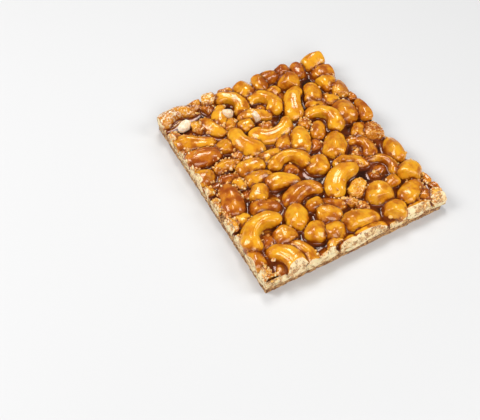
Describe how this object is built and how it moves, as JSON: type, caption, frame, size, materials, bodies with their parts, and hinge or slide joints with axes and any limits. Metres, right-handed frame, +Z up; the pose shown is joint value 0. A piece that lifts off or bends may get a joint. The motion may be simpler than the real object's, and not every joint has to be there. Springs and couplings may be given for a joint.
{
  "type": "nut brittle piece",
  "caption": "Flat rectangular piece of cashew brittle: glazed whole and broken nuts set in caramel, with two cut sides, two uneven sides and a flat underside to rest on.",
  "frame": {"origin": "middle of the flat underside, on the surface the piece lies on", "axes": "+X along the short side, towards an uneven side; +Y along the long side, towards the other uneven side; +Z up, through the thickness"},
  "size_m": [0.122, 0.14, 0.0169],
  "materials": {
    "glazed_nut": "caramel-glazed roasted cashew, glossy amber",
    "caramel": "set caramel, glossy deep brown",
    "cut_nut": "cut or broken cashew flesh, matte cream"
  },
  "bodies": {
    "root": {"brittle_slab": "glazed_nut"}
  },
  "joints": []
}
